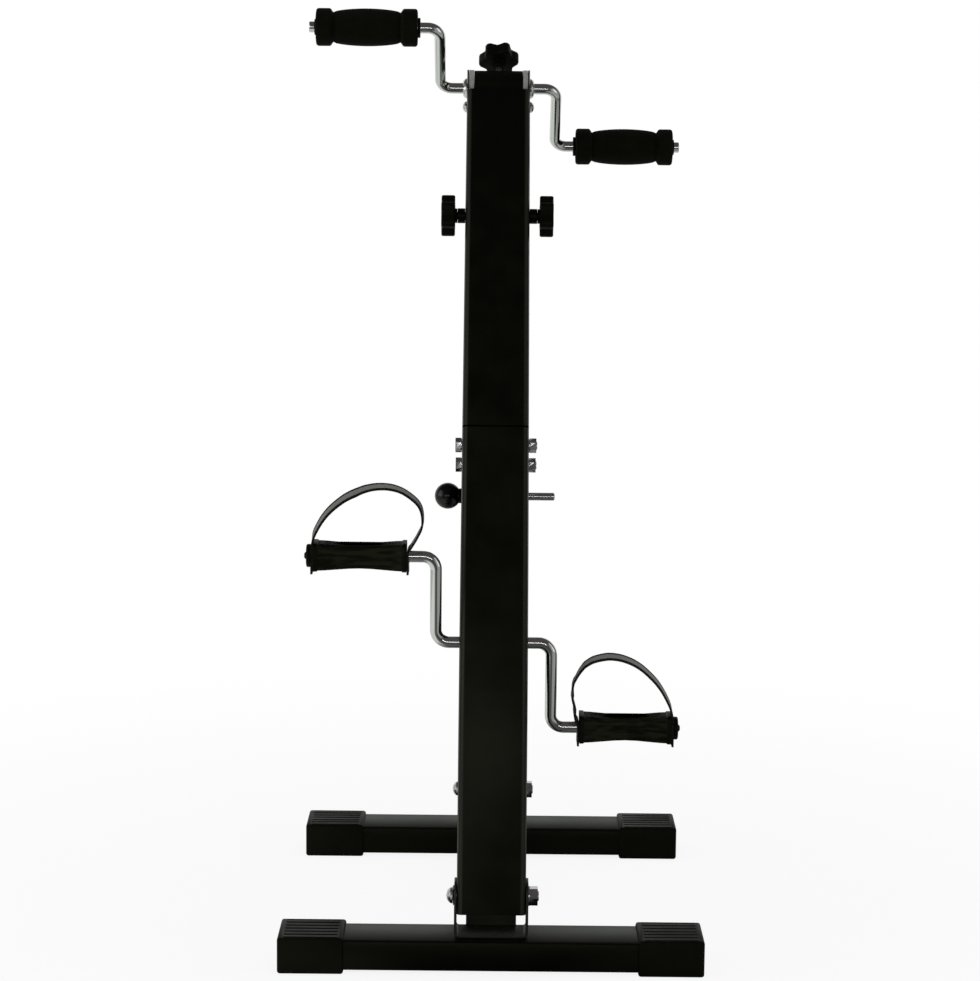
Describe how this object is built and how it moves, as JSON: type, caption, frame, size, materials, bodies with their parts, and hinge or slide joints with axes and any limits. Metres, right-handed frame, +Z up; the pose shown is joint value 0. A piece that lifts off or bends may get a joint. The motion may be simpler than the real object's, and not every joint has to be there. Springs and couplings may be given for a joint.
{
  "type": "dual exercise bike",
  "caption": "Folding exerciser for arms and legs: hand crank with foam grips on a sliding mast, pedals with straps on a bowed post, and two flat feet.",
  "frame": {"origin": "on the floor under the middle of the bounding box", "axes": "+Z up, -Y towards the front foot and away from the person training, +X to the right seen from the front foot's side"},
  "size_m": [0.42, 0.4934, 0.9461],
  "materials": {
    "black_paint": "black powder coat",
    "black_plastic": "satin moulded black",
    "gloss_black": "polished black",
    "foam": "matt foam rubber",
    "rubber_strap": "dark grey matt",
    "chrome": "bright plated",
    "zinc": "zinc plated",
    "nylon": "natural nylon"
  },
  "bodies": {
    "front_foot": {"front_bar": "black_paint", "front_cap_left": "black_plastic", "front_cap_right": "black_plastic", "front_bracket": "black_paint", "front_foot_bolt": "zinc", "front_foot_nut": "zinc", "front_foot_washer": "black_paint"},
    "post": {"lower_post": "black_paint", "mast_insert": "zinc", "insert_bolt": "zinc", "insert_nut": "zinc", "hinge_bracket": "black_paint", "hinge_bolt": "zinc", "hinge_nut": "zinc", "pedal_block": "black_plastic", "pedal_brake_shoe": "nylon"},
    "leg": {"rear_leg": "black_paint", "leg_washer_left": "nylon", "leg_washer_right": "nylon"},
    "rear_foot": {"rear_bar": "black_paint", "rear_cap_left": "black_plastic", "rear_cap_right": "black_plastic", "rear_bracket": "black_paint", "rear_foot_bolt": "zinc", "rear_foot_nut": "zinc", "rear_foot_washer": "black_paint", "rear_spacer_left": "nylon", "rear_spacer_right": "nylon"},
    "pin": {"lock_pin": "zinc", "lock_ball": "gloss_black"},
    "mast": {"mast_tube": "black_paint", "clamp_bush_left": "black_paint", "clamp_bush_right": "black_paint", "head_block": "black_plastic", "head_bush_left": "nylon", "head_bush_right": "nylon", "head_bolt": "chrome", "hand_brake_shoe": "nylon"},
    "left_clamp": {"clamp_knob_left": "black_plastic"},
    "right_clamp": {"clamp_knob_right": "black_plastic"},
    "hand_tension": {"hand_tension_knob": "black_plastic", "hand_tension_screw": "zinc"},
    "hand_cranks": {"hand_crank": "chrome", "push_cap_left": "chrome", "push_cap_right": "chrome", "grip_collar_left": "black_plastic", "grip_collar_right": "black_plastic", "grip_washer_left": "black_plastic", "grip_washer_right": "black_plastic"},
    "left_grip": {"grip_left": "foam"},
    "right_grip": {"grip_right": "foam"},
    "pedal_tension": {"pedal_tension_knob": "black_plastic", "pedal_tension_screw": "zinc"},
    "pedal_cranks": {"pedal_crank": "chrome"},
    "left_pedal": {"pedal_left": "black_plastic", "strap_left": "rubber_strap", "pedal_button_left": "black_plastic"},
    "right_pedal": {"pedal_right": "black_plastic", "strap_right": "rubber_strap", "pedal_button_right": "black_plastic"}
  },
  "joints": [
    {"name": "leg_fold", "type": "hinge", "parent": "post", "child": "leg", "pos_m": [0, -0.03078, 0.47709], "axis": [-1, 0, 0], "range_deg": [0, 44]},
    {"name": "post_tilt", "type": "hinge", "parent": "front_foot", "child": "post", "pos_m": [0, -0.21396, 0.072], "axis": [1, 0, 0], "range_deg": [0, 35]},
    {"name": "rear_foot_tilt", "type": "hinge", "parent": "leg", "child": "rear_foot", "pos_m": [0, 0.19904, 0.072], "axis": [1, 0, 0], "range_deg": [0, 10]},
    {"name": "pin_pull", "type": "slide", "parent": "post", "child": "pin", "axis": [-1, 0, 0], "range_m": [0, 0.1]},
    {"name": "mast_height", "type": "slide", "parent": "post", "child": "mast", "axis": [0, 0.5299, 0.848], "range_m": [0, 0.08]},
    {"name": "left_clamp_turn", "type": "hinge", "parent": "mast", "child": "left_clamp", "pos_m": [0, 0.08012, 0.72912], "axis": [1, 0, 0], "range_deg": [0, 180]},
    {"name": "right_clamp_turn", "type": "hinge", "parent": "mast", "child": "right_clamp", "pos_m": [0, 0.08012, 0.72912], "axis": [1, 0, 0], "range_deg": [0, 180]},
    {"name": "hand_tension_turn", "type": "hinge", "parent": "mast", "child": "hand_tension", "pos_m": [0, 0.16412, 0.86354], "axis": [0, 0.6947, 0.7193], "range_deg": [-180, 180]},
    {"name": "hand_crank_spin", "type": "hinge", "parent": "mast", "child": "hand_cranks", "pos_m": [0, 0.16412, 0.86354], "axis": [1, 0, 0], "continuous": true},
    {"name": "left_grip_spin", "type": "hinge", "parent": "hand_cranks", "child": "left_grip", "pos_m": [0, 0.10146, 0.92619], "axis": [1, 0, 0], "continuous": true},
    {"name": "right_grip_spin", "type": "hinge", "parent": "hand_cranks", "child": "right_grip", "pos_m": [0, 0.22676, 0.80089], "axis": [1, 0, 0], "continuous": true},
    {"name": "pedal_tension_turn", "type": "hinge", "parent": "post", "child": "pedal_tension", "pos_m": [0, -0.16437, 0.31702], "axis": [0, 0.9984, 0.0567], "range_deg": [-180, 180]},
    {"name": "pedal_crank_spin", "type": "hinge", "parent": "post", "child": "pedal_cranks", "pos_m": [0, -0.16437, 0.31702], "axis": [1, 0, 0], "continuous": true},
    {"name": "left_pedal_spin", "type": "hinge", "parent": "pedal_cranks", "child": "left_pedal", "pos_m": [0, -0.17517, 0.40496], "axis": [1, 0, 0], "continuous": true},
    {"name": "right_pedal_spin", "type": "hinge", "parent": "pedal_cranks", "child": "right_pedal", "pos_m": [0, -0.15357, 0.22908], "axis": [1, 0, 0], "continuous": true}
  ],
  "couplings": [
    {"joint": "post_tilt", "follows": "leg_fold", "ratio": 0.7819},
    {"joint": "rear_foot_tilt", "follows": "leg_fold", "ratio": 0.2181}
  ]
}
